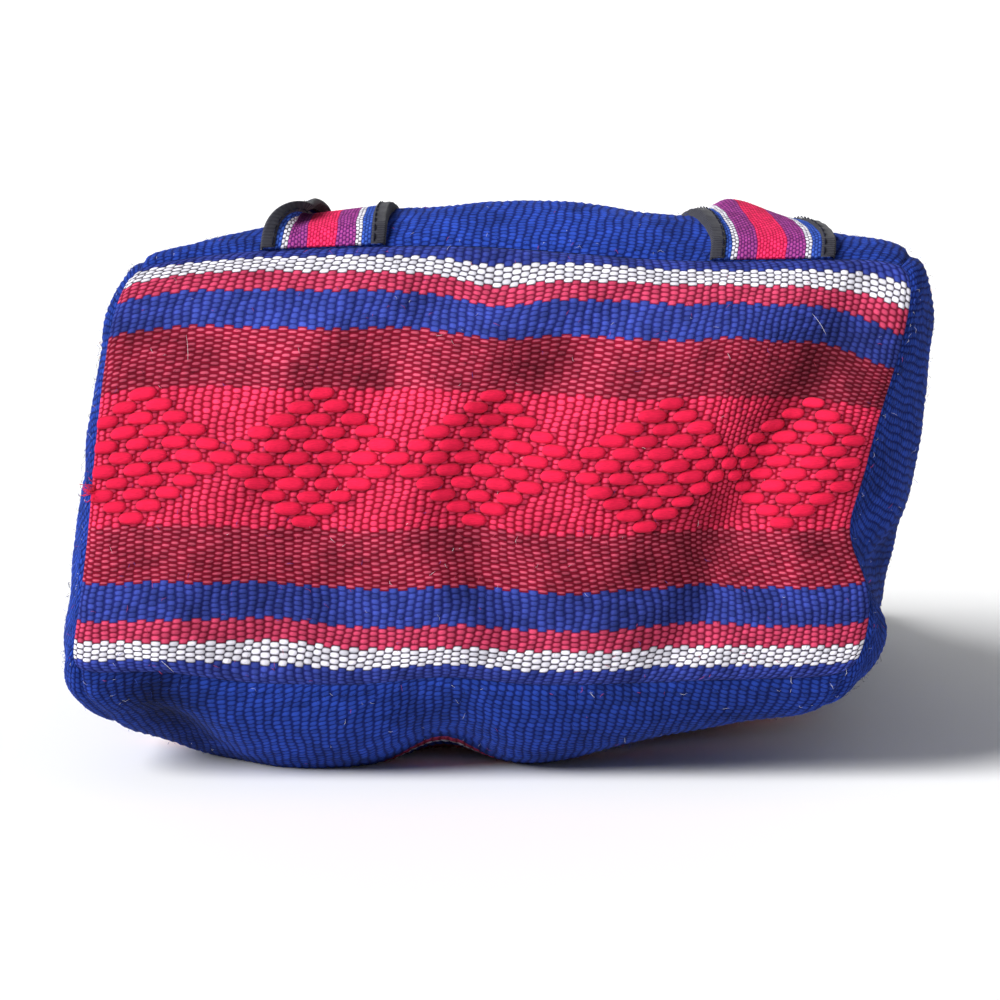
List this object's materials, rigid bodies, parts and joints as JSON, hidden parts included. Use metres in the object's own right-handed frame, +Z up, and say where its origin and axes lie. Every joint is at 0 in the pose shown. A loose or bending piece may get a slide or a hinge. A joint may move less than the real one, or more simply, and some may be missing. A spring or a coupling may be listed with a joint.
{
  "type": "woven serape backpack",
  "caption": "Small backpack of thick striped handwoven cloth with a diamond brocade base panel and two bound shoulder straps, lying on its front.",
  "frame": {"origin": "on the surface that the bag lies on, under the middle of its box", "axes": "+Z up, +Y from the base panel towards the mouth, +X to the right as the base panel is seen"},
  "size_m": [0.305, 0.3392, 0.2037],
  "materials": {
    "brocade_cloth": "thick weft-faced weave in red, dark red, blue and white bands with raised brocade floats",
    "striped_cloth": "thick weft-faced weave, blue with a banded stripe across",
    "blue_cloth": "thick weft-faced weave in deep blue over black warp",
    "strap_cloth": "finer weave with lengthwise blue, white, purple and red stripes",
    "binding_tape": "narrow black edge tape"
  },
  "bodies": {
    "root": {"bottom_panel": "brocade_cloth", "front_panel": "striped_cloth", "back_panel": "blue_cloth", "side_panel_left": "blue_cloth", "side_panel_right": "blue_cloth", "strap_left": "strap_cloth", "strap_right": "strap_cloth", "strap_left_binding_inner": "binding_tape", "strap_left_binding_outer": "binding_tape", "strap_right_binding_inner": "binding_tape", "strap_right_binding_outer": "binding_tape"}
  },
  "joints": []
}
